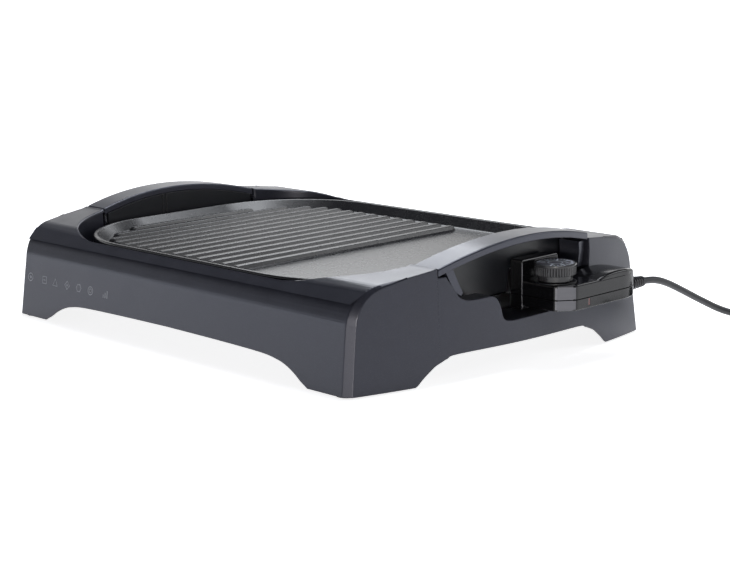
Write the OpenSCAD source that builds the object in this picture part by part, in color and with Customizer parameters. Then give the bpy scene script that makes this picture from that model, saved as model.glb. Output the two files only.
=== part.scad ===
// Electric table grill with a lift-out cooking plate and a plug-in thermostat.
// Frame: origin on the table under the middle of the base, +X to the thermostat end, -Y to the front, +Z up.
// The body leans a little on longer back legs; modules inside leaned() are drawn square to the body.

/* [Base] */
// Length of the base between its corners
base_l = 472; // [460:1:480]
// Depth of the base where it meets the table
base_d = 380; // [372:1:388]
// How far each end bows out past its corners
end_bow = 23.4; // [20:0.1:26]
// Height of the base's flat top beside the handles
top_h = 98.3; // [94:0.1:102]
// Lean of the body towards the front, in degrees
lean = 1.24; // [0:0.01:1.6]
// Draft of the front and back walls, in degrees
front_draft = 7.5; // [6:0.1:9]
// Draft of the end walls, in degrees
end_draft = 3.8; // [2:0.1:5]
// Slope of the top outside the handles, in degrees
top_slope = 6.1; // [3:0.1:8]
// Radius of the bend along the front and back top edges
bend_r = 36; // [30:1:40]
// Wall of the base moulding
wall = 2.5; // [2:0.1:3]
// Leg of the chamfer on the four corners
corner_chamfer = 5.7; // [2:0.1:7]
// Height of the arches under the base at their middle
arch_h = 23.4; // [16:0.1:26]
// Thickness of the rubber feet below the legs
foot_t = 1.5; // [1:0.1:3]

/* [Well] */
// Half depth of the opening in the top
open_y = 166.8; // [166:0.1:168]
// Distance of the opening's ends from the outer end faces
open_inset = 31; // [29:0.5:32]
// Corner radius of the opening
open_r = 86; // [80:1:90]
// Height of the well's floor
floor_h = 29; // [28:0.5:32]
// Thickness of the reflector sheet
sheet_t = 0.8; // [0.6:0.1:1.2]
// Height of the reflector's rim above its floor
reflector_h = 24; // [16:1:28]

/* [Drip tray] */
// Length of the drip tray over its rim
tray_l = 340; // [300:1:344]
// Depth of the drip tray over its rim
tray_d = 262; // [220:1:270]
// Height of the drip tray
tray_h = 21; // [14:1:25]
// Wall of the drip tray
tray_t = 1.5; // [1:0.1:2]

/* [Cooking plate] */
// Length of the cooking plate over its rim
plate_l = 428; // [422:1:428]
// Depth of the cooking plate over its rim
plate_d = 327.6; // [322:0.2:328]
// Corner radius of the plate's rim
plate_r = 110; // [104:1:112]
// Height of the rim's top
rim_h = 86.6; // [84:0.1:90]
// Height of the cooking surface
surface_h = 77; // [75:0.1:79]
// Thickness of the casting
cast_t = 4; // [3:0.1:5]
// Height of the ribs above the cooking surface
rib_h = 4.6; // [3:0.1:6]
// Distance from one rib to the next
rib_pitch = 18.12; // [16:0.01:18.4]
// Number of ribs
rib_count = 14; // [8:1:14]
// Width of a rib's flat top
rib_top = 5; // [3:0.1:7]
// Diameter of the heating element
element_d = 7; // [6:0.1:8]

/* [Handles] */
// Height of a handle's crest
crest_h = 112; // [110:0.1:114]
// Width of a handle's top band
band_w = 29; // [27:0.5:29.5]
// Thickness of a handle's top band
band_t = 6.4; // [6:0.1:8]
// How far the right handle's arch is set to the back
right_back = 12; // [0:0.5:14]
// How much higher the right handle's arch stands
right_up = 1.7; // [0:0.1:2]
// Thickness of a handle's inner wall
handle_wall = 3; // [2:0.1:4]
// Diameter of the handle screws
screw_d = 4; // [3:0.1:4.5]

/* [Controller] */
// Height of the controller's underside
ctrl_h = 48.6; // [47:0.1:50]
// Height of the seam between the two shells
seam_h = 58.3; // [56:0.1:60]
// Height of the deck under the dial
deck_h = 71.3; // [70:0.1:72]
// Wall of the controller's shells
ctrl_wall = 2; // [1.6:0.1:2.4]
// Diameter of the dial
dial_d = 37; // [30:0.5:38]
// Height of the dial's fluted skirt
dial_skirt = 10; // [8:0.1:12]
// Number of flutes around the dial
dial_flutes = 30; // [16:1:36]
// Diameter of the temperature probe
probe_d = 4.6; // [4:0.1:5]
// Diameter of the terminal pins
pin_d = 6; // [5:0.1:6.4]
// Distance between the terminal pins
pin_gap = 24; // [22:0.5:26]

/* [Cord] */
// Diameter of the mains cord
cord_d = 6.5; // [6:0.1:7]
// Loops of the put-away coil in each of its two layers
coil_turns = 2.75; // [1.75:1:3.75]
// Radius of the coil's outermost loop
coil_r = 46; // [40:1:56]

/* [Hidden] */
eps = 0.01;
seat = 0.3;                                        // play between pieces that lift or slide apart
ends_fn = 720;
round_fn = 96;

// Base shape
base_low = -8;                                     // the walls start below the table and are cut by it
base_high = 130;
end_r = (pow(base_d / 2, 2) + pow(end_bow, 2)) / (2 * end_bow);
end_cx = base_l / 2 + end_bow - end_r;
side_v = 100;                                      // where the handle's dome meets the sloping top
dome_r = (pow(side_v, 2) + pow(crest_h - top_h, 2)) / (2 * (crest_h - top_h));
dome_cw = crest_h - dome_r;
bend_a = base_d / 2 - bend_r / cos(front_draft);
bend_b = top_h + side_v * tan(top_slope) - bend_r / cos(top_slope);
bend_v = (bend_a - tan(front_draft) * bend_b) / (1 - tan(front_draft) * tan(top_slope));
bend_w = bend_b - tan(top_slope) * bend_v;
end_top = tan(end_draft) * (top_h - wall);         // how far the end faces lean in at the opening
leg_x = base_l / 2 - 13;
leg_y = base_d / 2 - 13;
leg_r = 8.5;
arch_x = 189;                                      // half width of the front arch at the table
arch_y = 128;                                      // half width of the end arches at the table
handle_v0 = -94;                                   // front end of the handles
handle_v1 = 100;                                   // back end of the handles
seam_gap = 1;

// Heights inside the well
floor_t = wall;
pan_h = floor_h + floor_t;
tray_base = pan_h + sheet_t + 0.05;
post_x = 178;
post_y = 114;
post_r = 8;
plate_under = surface_h - cast_t;
skirt_h = 66;                                      // lower edge of the plate's skirt
post_top = 62;
element_w = plate_under - element_d / 2 - 0.1;
rib_x0 = -193.9;
rib_back = [83.6, 50.6, 32.6, 24.6, 22.1];           // how far the first ribs and all others end short of the rim

// Handle brackets, terminals and controller, square to the body
bracket_v = 78;
bracket_t = 2;
wall_in_r = end_r - end_top - open_inset;          // plan radius of the handle wall's inner face
open_cx = end_cx + sqrt(pow(wall_in_r - open_r, 2) - pow(open_y - open_r, 2));
open_tan_v = wall_in_r * (open_y - open_r) / (wall_in_r - open_r);
tab_u = end_cx + sqrt(pow(wall_in_r, 2) - pow(bracket_v + 8, 2));
handle_low = 60;
head_d = 2 * screw_d;
head_t = 2;
term_v = 41.7;
term_w = element_w;
probe_w = term_w - 6.9;
probe_in = 130;                                    // how deep the probe reaches, from the middle
block_u0 = 226;
block_u1 = 240;
block_v0 = 17.4;
block_v1 = 66;
block_low = 45;
block_top = 89;
guard_u1 = 237;
guard_v = 21;
guard_w0 = term_w - 12.4;
guard_w1 = term_w + 9.6;
dial_v = 33.9;
dial_top = 88;
collar_d = dial_d - 7;
bezel_t = 1;
outer_u = 288.5;
dial_u = (block_u1 + outer_u) / 2 - 0.55;
grip_v1 = 124;
relief_u = 272;
relief_w = 55.9;
relief_l = 29;
relief_at = [relief_u, 117, 58.5];                 // root of the strain relief, in the table's frame
lamp_v = 50;
lamp_w = seam_h - 4;
mid_x = (outer_u - end_cx - end_r + tan(end_draft) * arch_h) / 2;
mid_y = tan(front_draft) * sin(lean) * base_d / 2;

// Cord route in the table's frame: strain relief, slope to the table, coil, plug
coil_x = 328;
coil_y = 330;
coil_pitch = cord_d + 0.9;
coil_z = cord_d / 2 + 1.4;
coil_sides = 6;
coil_steps = 24;
cord_sides = 8;
lead_points = [
  [272, 146, 58.5], [272, 155, 58.1], [272, 168, 56.2], [272, 184, 51.2], [272, 200, 44.6], [272, 222, 34.8],
  [272, 244, 25.2], [273, 264, 16.6], [276, 284, 9.6], [279, 300, 6.0], [281, 312, 5.0]
];
lead_end = [coil_x - coil_r, coil_y - cord_d, coil_z];
tail_points = [[374, 306, 11.2], [376, 292, 9.4], [380, 278, 8.2], [384, 266, 7.8]];
tail_start = [coil_x + coil_r, coil_y - cord_d, coil_z + coil_pitch];
plug_at = [386, 258, 7.8];
plug_l = 38;
plug_turn = -14;

// Moves a piece drawn about the middle of the base to the middle of the whole footprint
module placed() translate([-mid_x, -mid_y, 0]) children();

module leaned() placed() rotate([lean, 0, 0]) children();

module along_x(l) rotate([90, 0, 90]) linear_extrude(l, center = true) children();

module both_ends() {
  children();
  mirror([1, 0, 0]) children();
}

module four(x, y) for (sx = [-1, 1], sy = [-1, 1]) translate([sx * x, sy * y, 0]) children();

module rounded_box2d(hx, hy, r) {
  square([2 * hx, 2 * (hy - r)], center = true);
  square([2 * (hx - r), 2 * hy], center = true);
  four(hx - r, hy - r) circle(r, $fn = round_fn);
}

// Section of the base across its depth, drawn inset by a wall
module profile2d(inset) {
  r = bend_r - inset;
  low = base_low - (inset > 0 ? 1 : 0);
  under_dome = 5;
  half = [
    [base_d / 2 - tan(front_draft) * low - inset / cos(front_draft), low],
    [bend_v + r * cos(front_draft), bend_w + r * sin(front_draft)],
    [bend_v + r * sin(top_slope), bend_w + r * cos(top_slope)],
    [side_v - under_dome, top_h + under_dome * tan(top_slope) - inset / cos(top_slope)]
  ];
  polygon(concat(half, [for (i = [3:-1:0]) [-half[i][0], half[i][1]]]));
  for (s = [-1, 1]) translate([s * bend_v, bend_w]) circle(r, $fn = 128);
  intersection() {
    translate([0, dome_cw]) circle(dome_r - inset, $fn = ends_fn);
    translate([-side_v - under_dome, top_h - 30]) square([2 * (side_v + under_dome), 60]);
  }
}

// The two bowed end faces, leaning in by their draft
module ends(inset) {
  intersection_for (s = [0, 1]) mirror([s, 0, 0])
    translate([base_l / 2, 0, 0]) rotate([0, -end_draft, 0]) translate([-base_l / 2, 0, base_low - 30])
      linear_extrude(base_high + 60) intersection() {
        translate([end_cx, 0]) circle(end_r - inset, $fn = ends_fn);
        translate([-0.7 * base_l, -base_d]) square([1.5 * base_l, 2 * base_d]);
      }
}

module outer_solid(inset) {
  intersection() {
    along_x(1.3 * base_l) profile2d(inset);
    ends(inset);
  }
}

// Plan outline of the opening in the top: bowed ends that run into round corners
module opening2d(grow) {
  intersection() {
    square([2 * base_l, 2 * open_tan_v], center = true);
    for_ends2d() circle(wall_in_r + grow, $fn = ends_fn);
  }
  square([2 * open_cx, 2 * (open_y + grow)], center = true);
  four(open_cx, open_y - open_r) circle(open_r + grow, $fn = 128);
}

module for_ends2d() {
  intersection_for (s = [-1, 1]) translate([s * end_cx, 0]) children();
}

// Cut-outs of the end walls: shallow round the handle, deep on the thermostat's side
function end_cut(deep) = concat(
  [[handle_v0 - seam_gap, base_high], [handle_v0 - seam_gap, 91.3], [-86.5, 91.3], [-77, 78], [-73, 72.5],
   [-66, 69], [-58, 68]],
  deep
    ? [[-36, 68], [-30, 64.5], [-26, 57], [-24, 48], [-19, 44.5], [-12, 43.5],
       [84, 43.5], [91, 47], [95, 54], [97.5, 68], [handle_v1 + seam_gap, 88]]
    : [[64, 68], [72, 69], [79, 72.5], [83, 78], [92.5, 91.3], [handle_v1 + seam_gap, 89.8]],
  [[handle_v1 + seam_gap, base_high]]);

module end_cut3d(deep, grow = 0) {
  side = deep ? 1 : -1;
  translate([side * (base_l / 2 + 10), 0, 0]) along_x(80)
    offset(delta = grow) polygon(end_cut(deep));
}

// One chamfer's path up the corner and along the bend, with the share of the full leg at each step
function corner_v(w) = base_d / 2 - tan(front_draft) * w;
function end_u(v, w) = end_cx + sqrt(pow(end_r, 2) - v * v) - tan(end_draft) * w;
function corner_path() = concat(
  [[corner_v(base_low), base_low, front_draft, 1]],
  [for (a = [front_draft:(90 - top_slope - front_draft) / 14:90 - top_slope + eps])
    [bend_v + bend_r * cos(a), bend_w + bend_r * sin(a), a,
     1 - 0.6 * (a - front_draft) / (90 - top_slope - front_draft)]],
  [[bend_v - 24, top_h - tan(top_slope) * (bend_v - 24 - side_v), 90 - top_slope, -0.05]]);

module corner_cutter(grow = 0) {
  path = corner_path();
  n = len(path);
  over = 3;
  rings = [for (p = path)
    let (c = corner_chamfer * p[3] + grow, dv = cos(p[2]), dw = sin(p[2]), e = end_u(p[0], p[1]),
         in = end_u(p[0] - c * dv, p[1] - c * dw), run = over * (1 + end_u(p[0] - dv, p[1] - dw) - e))
    each [[e - c - run, p[0] + over * dv, p[1] + over * dw],
          [in + run, p[0] - (c + over) * dv, p[1] - (c + over) * dw],
          [e + 8, p[0] + 8 * dv, p[1] + 8 * dw]]];
  polyhedron(points = rings, faces = concat(
    [[0, 1, 2]],
    [for (i = [0:n - 2], k = [0:2]) [3 * i + k, 3 * (i + 1) + k, 3 * i + (k + 1) % 3]],
    [for (i = [0:n - 2], k = [0:2]) [3 * i + (k + 1) % 3, 3 * (i + 1) + k, 3 * (i + 1) + (k + 1) % 3]],
    [[3 * n - 1, 3 * n - 2, 3 * n - 3]]));
}

module arch2d(half, shoulder) {
  rise = arch_h / 23.4;
  side = [for (p = shoulder) [half - p[0], rise * p[1]]];
  polygon(concat([[half, base_low]], side, [[0, arch_h]],
    [for (i = [len(side) - 1:-1:0]) [-side[i][0], side[i][1]]], [[-half, base_low]]));
}

// What stands in the hollow between the skin and the well: the well's walls and floor, legs and cut-out liners
module inside_skin() {
  translate([0, 0, floor_h]) linear_extrude(base_high) opening2d(wall);
  four(leg_x, leg_y) translate([0, 0, 2 * base_low]) cylinder(h = floor_h - 2 * base_low, r = leg_r, $fn = 48);
  for (deep = [true, false]) end_cut3d(deep, wall);
  for (sy = [0, 1]) mirror([0, sy, 0]) both_ends() corner_cutter(wall * sqrt(2));
}

module base_shell() color("#33353b") {
  difference() {
    leaned() difference() {
      outer_solid(0);
      difference() {
        outer_solid(wall);
        inside_skin();
      }
      difference() {
        translate([0, 0, pan_h]) linear_extrude(base_high) opening2d(0);
        four(post_x, post_y) translate([0, 0, pan_h - 1]) cylinder(h = post_top - pan_h + 1, r = post_r, $fn = 48);
      }
      for (deep = [true, false]) end_cut3d(deep);
      for (s = [-1, 1]) translate([s * (end_cx + wall_in_r) - 12, handle_v0, handle_low - 4])
        cube([24, handle_v1 - handle_v0, base_high]);
      for (sy = [0, 1]) mirror([0, sy, 0]) both_ends() corner_cutter();
      four(150, 90) translate([0, 0, floor_h - 1]) cylinder(h = floor_t + 2, d = screw_d - 0.6, $fn = 32);
    }
    placed() translate([-base_l, -base_d, -50]) cube([2 * base_l, 2 * base_d, 50 + foot_t]);
    placed() for (s = [-1, 1]) translate([0, s * base_d / 2, 0]) rotate([90, 0, 0]) linear_extrude(34, center = true)
      arch2d(arch_x, [[0, 1.5], [3, 3], [9, 6], [18, 11.5], [29, 16.4], [41, 19.4], [62, 21.6], [120, 22.8]]);
    placed() for (s = [-1, 1]) translate([s * (base_l / 2 + 4), 0, 0]) along_x(48)
      arch2d(arch_y, [[0, 0], [6, 2.5], [12, 7.5], [19, 12.5], [25, 16.3], [32, 19], [38, 21], [51, arch_h]]);
  }
}

module reflector_pan() color("#a7a9ad") leaned() translate([0, 0, pan_h]) {
  difference() {
    linear_extrude(reflector_h) opening2d(-6);
    translate([0, 0, sheet_t]) linear_extrude(reflector_h) opening2d(-6 - sheet_t);
    four(post_x, post_y) translate([0, 0, -1]) cylinder(h = reflector_h, r = post_r + seat, $fn = 48);
    four(150, 90) translate([0, 0, -1]) cylinder(h = 4, d = screw_d - 0.6, $fn = 32);
  }
}

module reflector_screws() color("#8b8e93") leaned() four(150, 90) {
  translate([0, 0, floor_h - 3]) cylinder(h = 3 + floor_t + sheet_t, d = screw_d - 0.6, $fn = 32);
  translate([0, 0, floor_h - 2.4]) difference() {
    cylinder(h = 2.4, d = head_d, $fn = 32);
    translate([0, 0, -1]) for (a = [0, 90]) rotate(a) cube([4.4, 1, 4], center = true);
  }
}

module rubber_feet() color("#1c1d1f") placed() four(leg_x, leg_y) cylinder(h = foot_t, r = leg_r, $fn = 48);

module tray2d(grow) rounded_box2d(tray_l / 2 - 8 + grow, tray_d / 2 - 8 + grow, 22 + grow);

module drip_tray() color("#55575c") leaned() translate([0, 0, tray_base]) {
  difference() {
    union() {
      linear_extrude(tray_h) tray2d(0);
      translate([0, 0, tray_h - tray_t]) linear_extrude(tray_t) tray2d(8);
    }
    translate([0, 0, tray_t]) linear_extrude(tray_h) tray2d(-tray_t);
  }
}

module rim2d(inset) rounded_box2d(plate_l / 2 - inset, plate_d / 2 - inset, plate_r - inset);

module cooking_plate() color("#26272a") leaned() {
  drain_y = plate_d / 2 - 18;
  difference() {
    union() {
      difference() {
        translate([0, 0, skirt_h]) linear_extrude(rim_h - skirt_h) rim2d(0);
        hull() {
          translate([0, 0, surface_h]) linear_extrude(eps) rim2d(14);
          translate([0, 0, rim_h]) linear_extrude(eps) rim2d(4);
        }
        translate([0, 0, skirt_h - 1]) linear_extrude(plate_under - skirt_h + 1) rim2d(3);
      }
      for (i = [0:rib_count - 1]) translate([rib_x0 + i * rib_pitch, 0, surface_h])
        rotate([90, 0, 0]) linear_extrude(plate_d - 2 * rib_back[min(i, 4)], center = true)
          polygon([[-rib_top / 2 - 2.4, -1], [rib_top / 2 + 2.4, -1], [rib_top / 2, rib_h], [-rib_top / 2, rib_h]]);
      four(post_x, post_y) translate([0, 0, post_top + 0.1])
        cylinder(h = surface_h - post_top - 1, r = post_r - 1.5, $fn = 48);
      four(plate_l / 2 - 9, bracket_v) translate([0, 0, skirt_h]) cylinder(h = cast_t + 5, r = 5, $fn = 32);
      translate([probe_in - 8, term_v - 4, probe_w + probe_d / 2 + 1.8])
        cube([40, 8, plate_under - probe_w - probe_d / 2]);
    }
    four(plate_l / 2 - 9, bracket_v) translate([0, 0, skirt_h - 1]) cylinder(h = 6, d = screw_d, $fn = 32);
    translate([0, -drain_y, surface_h - cast_t - 1]) for (x = [-1, 1]) translate([6 * x, 0, 0])
      cylinder(h = cast_t + 3, d = 6, $fn = 32);
    translate([-6, -drain_y - 3, surface_h - cast_t - 1]) cube([12, 6, cast_t + 3]);
    for (s = [-1, 1]) translate([plate_l / 2 - 6, term_v + s * pin_gap / 2, term_w])
      rotate([0, 90, 0]) cylinder(h = 9, d = element_d + 3, $fn = 48);
    translate([plate_l / 2 - 6, term_v, probe_w]) rotate([0, 90, 0]) cylinder(h = 9, d = probe_d + 4, $fn = 48);
  }
}

// Quarter bend of the element, lying flat, starting at the origin towards +X and turning left
module bend(r, turn) {
  translate([0, turn * r, 0]) rotate(turn > 0 ? -90 : 0)
    rotate_extrude(angle = 90, $fn = round_fn) translate([r, 0]) circle(d = element_d, $fn = 32);
}

module rod(l) rotate([0, 90, 0]) cylinder(h = l, d = element_d, $fn = 32);

module heating_element() color("#5b5c5f") leaned() translate([0, 0, element_w]) {
  r = 26;
  xr = plate_l / 2 - 44;
  xl = -plate_l / 2 + 44;
  y = plate_d / 2 - 44;
  for (s = [-1, 1]) {
    at = term_v + s * pin_gap / 2;
    translate([xr, at, 0]) rod(plate_l / 2 - 12 - xr);
    translate([xr, at, 0]) mirror([1, 0, 0]) bend(r, s);
    translate([xr - r, at + s * r, 0]) rotate(s * 90) rod(y - r - s * at - r);
    translate([xr - r, s * (y - r), 0]) rotate(s * 90) bend(r, s);
    translate([xr - 2 * r, s * y, 0]) mirror([1, 0, 0]) rod(xr - 2 * r - xl - r);
    translate([xl + r, s * y, 0]) mirror([1, 0, 0]) bend(r, -s);
  }
  translate([xl, -y + r, 0]) rotate(90) rod(2 * (y - r));
}

module pin_row() for (s = [-1, 1]) translate([0, term_v + s * pin_gap / 2, term_w]) rotate([0, 90, 0]) children();

module terminal_pins() color("#b9babd") leaned() pin_row()
  translate([0, 0, plate_l / 2 - 12]) cylinder(h = guard_u1 - 2 - plate_l / 2 + 12, d = pin_d, $fn = 48);

module pin_collars() color("#d9d6cd") leaned() pin_row()
  translate([0, 0, plate_l / 2 - 5.8]) difference() {
    cylinder(h = 12, d = element_d + 2.8, $fn = 48);
    translate([0, 0, -1]) cylinder(h = 14, d = pin_d, $fn = 48);
  }

module terminal_guard() color("#8d9094") leaned() difference() {
  translate([plate_l / 2, guard_v, guard_w0]) cube([guard_u1 - plate_l / 2, 2 * (term_v - guard_v), guard_w1 - guard_w0]);
  translate([plate_l / 2 + sheet_t, guard_v + sheet_t, guard_w0 + sheet_t])
    cube([50, 2 * (term_v - guard_v - sheet_t), guard_w1 - guard_w0 - 2 * sheet_t]);
  pin_row() translate([0, 0, plate_l / 2 - 5]) cylinder(h = 8, d = element_d + 3, $fn = 48);
  translate([plate_l / 2 - 5, term_v, probe_w]) rotate([0, 90, 0]) cylinder(h = 8, d = probe_d + 4, $fn = 48);
}

module probe_sleeve() color("#a9abae") leaned() translate([probe_in - 6, term_v, probe_w]) rotate([0, 90, 0])
  difference() {
    cylinder(h = plate_l / 2 + 6 - probe_in, d = probe_d + 3.6, $fn = 48);
    translate([0, 0, 3]) cylinder(h = 200, d = probe_d + 2 * seat, $fn = 48);
  }

// Plan band that follows the bowed end, between two distances in from the outer face at the top
module end_band(from, to, low, high) {
  translate([end_cx, 0, low]) difference() {
    cylinder(h = high - low, r = end_r - end_top - from, $fn = ends_fn);
    translate([0, 0, -1]) cylinder(h = high - low + 2, r = end_r - end_top - to, $fn = ends_fn);
  }
}

// Top of a handle, lowered by a drop; the right one's arch is set back and up
module dome(drop, v0, v1, deep) {
  intersection() {
    translate(deep ? [0, right_back, dome_cw + right_up] : [0, 0, dome_cw]) rotate([0, 90, 0]) cylinder(h = base_l, r = dome_r - drop, $fn = ends_fn);
    translate([150, v0, handle_low]) cube([base_l, v1 - v0, 100]);
  }
}

// Tongues that close a handle's ends, drawn across the depth; the deep cut-out has an upright back edge
front_tongue = [[-84, 100], [-84, 95], [-75.2, 79], [-71, 74.5], [-66, 71], [-63.5, 74], [-67, 80], [-75, 95], [-75, 100]];
back_tongue = [for (p = front_tongue) [p[0] == -84 ? 90 : 6 - p[0], p[1]]];
deep_tongue = [[90, 100], [91, 86], [88, 73], [94.5, 73], [98, 86], [98.5, 100]];

module grip(deep) {
  intersection() {
    difference() {
      dome(0, handle_v0, handle_v1, deep);
      dome(band_t, handle_v0 - 1, handle_v1 + 1, deep);
    }
    end_band(0.6, band_w + 0.6, handle_low, base_high);
  }
  for (tongue = [front_tongue, deep ? deep_tongue : back_tongue]) intersection() {
    dome(band_t / 2, handle_v0, handle_v1, deep);
    end_band(4, band_w - 2, handle_low, base_high);
    translate([base_l / 2, 0, 0]) along_x(80) polygon(tongue);
  }
}

module handle_grip_right() color("#3a3c43") leaned() grip(true);
module handle_grip_left() color("#3a3c43") leaned() mirror([1, 0, 0]) grip(false);

module screw_spots() for (s = [-1, 1]) translate([0, s * bracket_v, 72]) rotate([0, 90, 0]) children();

module inner_wall(deep) difference() {
  intersection() {
    dome(band_t, handle_v0 + 4, handle_v1 - 4, deep);
    end_band(open_inset - handle_wall, open_inset, handle_low, base_high);
  }
  screw_spots() translate([0, 0, 200]) cylinder(h = 40, d = screw_d, $fn = 32);
  if (deep) translate([base_l / 2 - 36, block_v0 - 2, handle_low - 1])
    cube([60, block_v1 - block_v0 + 4, guard_w1 + 1 - handle_low]);
}

module handle_wall_right() color("#17181c") leaned() inner_wall(true);
module handle_wall_left() color("#17181c") leaned() mirror([1, 0, 0]) inner_wall(false);

module handle_brackets() color("#2a2b2e") leaned() both_ends() for (s = [-1, 1]) difference() {
  union() {
    translate([plate_l / 2 - 18, s * bracket_v - 8, skirt_h - bracket_t]) cube([tab_u - plate_l / 2 + 18, 16, bracket_t]);
    translate([tab_u - bracket_t, s * bracket_v - 8, skirt_h - bracket_t]) cube([bracket_t, 16, 14]);
  }
  translate([plate_l / 2 - 9, s * bracket_v, skirt_h - bracket_t - 1]) cylinder(h = 6, d = screw_d, $fn = 32);
  translate([tab_u - 5, s * bracket_v, 72]) rotate([0, 90, 0]) cylinder(h = 8, d = screw_d, $fn = 32);
}

module handle_screws() color("#9a9ca0") leaned() both_ends() for (s = [-1, 1]) {
  translate([plate_l / 2 - 9, s * bracket_v, skirt_h - bracket_t - head_t]) {
    cylinder(h = head_t, d = head_d, $fn = 32);
    cylinder(h = head_t + bracket_t + 4.9, d = screw_d, $fn = 32);
  }
  translate([tab_u - bracket_t - head_t, s * bracket_v, 72]) rotate([0, 90, 0]) {
    cylinder(h = head_t, d = head_d - 1, $fn = 32);
    cylinder(h = head_t + bracket_t + 3.2, d = screw_d, $fn = 32);
  }
}

// Plan outline of the controller: a block towards the plate and a grip along the end
module controller2d(inset) {
  offset(delta = -inset) polygon([
    [block_u0, block_v0], [outer_u - 11.5, block_v0], [outer_u, block_v0 + 15.6], [outer_u, grip_v1 - 20],
    [outer_u - 2.5, grip_v1 - 9], [outer_u - 8, grip_v1 - 2], [relief_u - 8, grip_v1], [relief_u - 14, grip_v1 - 5],
    [relief_u - 18, grip_v1 - 20], [relief_u - 17, block_v1], [block_u0, block_v1]]);
}

module hump(drop) translate([relief_u - 30, 92, deck_h + 4.2 - 110]) rotate([0, 90, 0])
  cylinder(h = 60, r = 110 - drop, $fn = 360);

module upper_solid(inset) {
  translate([0, 0, seam_h - (inset > 0 ? 1 : 0)]) linear_extrude(deck_h - seam_h - inset + (inset > 0 ? 1 : 0))
    controller2d(inset);
  intersection() {
    translate([0, 0, seam_h]) linear_extrude(40) controller2d(inset);
    hump(inset);
    translate([block_u1, block_v1 - 4, seam_h]) cube([60, 80, 60]);
  }
}

module controller_upper_shell() color("#0d0e10") leaned() difference() {
  union() {
    difference() {
      upper_solid(0);
      upper_solid(ctrl_wall);
    }
    translate([block_u0, block_v0, seam_h]) cube([block_u1 - block_u0, block_v1 - block_v0, block_top - seam_h]);
    four_bosses(seam_h, deck_h - 1) circle(d = head_d, $fn = 32);
  }
  socket_space();
  four_bosses(seam_h - 1, seam_h + 8) circle(d = screw_d - 1, $fn = 32);
  translate([dial_u, dial_v, deck_h - 5]) cylinder(h = 10, d = 6.6, $fn = 48);
  relief_hole();
}

module four_bosses(low, high) for (p = [[relief_u - 8, grip_v1 - 20], [outer_u - 9, dial_v + 6.1], [outer_u - 6.9, block_v1 - 4]])
  translate([p[0], p[1], low]) linear_extrude(high - low) children();

module socket_space() {
  translate([block_u0 - 1, guard_v - 1, guard_w0 - 1])
    cube([guard_u1 - block_u0 + 1.5, 2 * (term_v - guard_v) + 2, guard_w1 - guard_w0 + 2]);
  translate([block_u0 + 2, guard_v + 1, guard_w0 + 1])
    cube([block_u1 - block_u0 - 1.9, 2 * (term_v - guard_v) - 2, guard_w1 - guard_w0 - 3]);
}

module relief_hole() translate([relief_u, grip_v1 - 10, relief_w]) rotate([-90, 0, 0]) cylinder(h = 20, d = 11, $fn = 48);

module controller_lower_shell() color("#0d0e10") leaned() difference() {
  union() {
    difference() {
      translate([0, 0, ctrl_h]) linear_extrude(seam_h - ctrl_h) controller2d(0);
      translate([0, 0, ctrl_h + ctrl_wall]) linear_extrude(seam_h - ctrl_h) controller2d(ctrl_wall);
    }
    translate([block_u0, block_v0, block_low]) cube([block_u1 - block_u0 + 10, block_v1 - block_v0, ctrl_h - block_low]);
    translate([block_u0, block_v0, ctrl_h]) cube([block_u1 - block_u0, block_v1 - block_v0, seam_h - ctrl_h]);
    four_bosses(ctrl_h, seam_h) circle(d = head_d + 3, $fn = 32);
  }
  socket_space();
  four_bosses(ctrl_h - 1, ctrl_h + 3) circle(d = head_d, $fn = 32);
  four_bosses(ctrl_h, seam_h + 1) circle(d = screw_d, $fn = 32);
  relief_hole();
  translate([outer_u - ctrl_wall - 1, lamp_v - 1.3, lamp_w - 3]) cube([8, 2.6, 6]);
}

module contact_block() color("#6f6a5e") leaned() difference() {
  translate([block_u1 + 0.2, guard_v + 3, guard_w0 + 1.2])
    cube([7, 2 * (term_v - guard_v - 3), deck_h - ctrl_wall - guard_w0 - 1.4]);
  translate([block_u1 - 1, term_v, probe_w]) rotate([0, 90, 0]) cylinder(h = 20, d = probe_d, $fn = 48);
}

module contact_sockets() color("#c8a24a") leaned() pin_row() translate([0, 0, block_u0 + 3]) difference() {
  cylinder(h = block_u1 - block_u0 - 3, d = pin_d + 3, $fn = 48);
  translate([0, 0, -1]) cylinder(h = guard_u1 - block_u0 + 0.5, d = pin_d + 2 * seat, $fn = 48);
}

module temperature_probe() color("#c3c5c8") leaned() translate([probe_in, term_v, probe_w]) rotate([0, 90, 0])
  cylinder(h = block_u1 + 7.2 - probe_in, d = probe_d, $fn = 48);

module thermostat_frame() color("#b4b6b9") leaned() difference() {
  translate([dial_u - 14, dial_v - 8, ctrl_h + ctrl_wall]) cube([24, 16, deck_h - ctrl_h - 2 * ctrl_wall]);
  translate([dial_u - 12.8, dial_v - 9, ctrl_h + ctrl_wall + 1.2]) cube([30, 18, deck_h - ctrl_h - 2 * ctrl_wall - 2.4]);
  translate([dial_u, dial_v, deck_h - 6]) cylinder(h = 10, d = 6.6, $fn = 48);
}

module thermostat_blades() color("#c99a4d") leaned() for (i = [0, 1])
  translate([dial_u - 12.8, dial_v - 4, ctrl_h + 6 + 4 * i]) cube([21, 8, 0.8]);

module pilot_lamp() color("#5a1512") leaned() {
  translate([outer_u - ctrl_wall, lamp_v - 1.2, lamp_w - 2.9]) cube([ctrl_wall - 0.2, 2.4, 5.8]);
  translate([outer_u - 12, lamp_v, lamp_w]) rotate([0, 90, 0]) cylinder(h = 12 - ctrl_wall, d = 4.6, $fn = 32);
}

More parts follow.
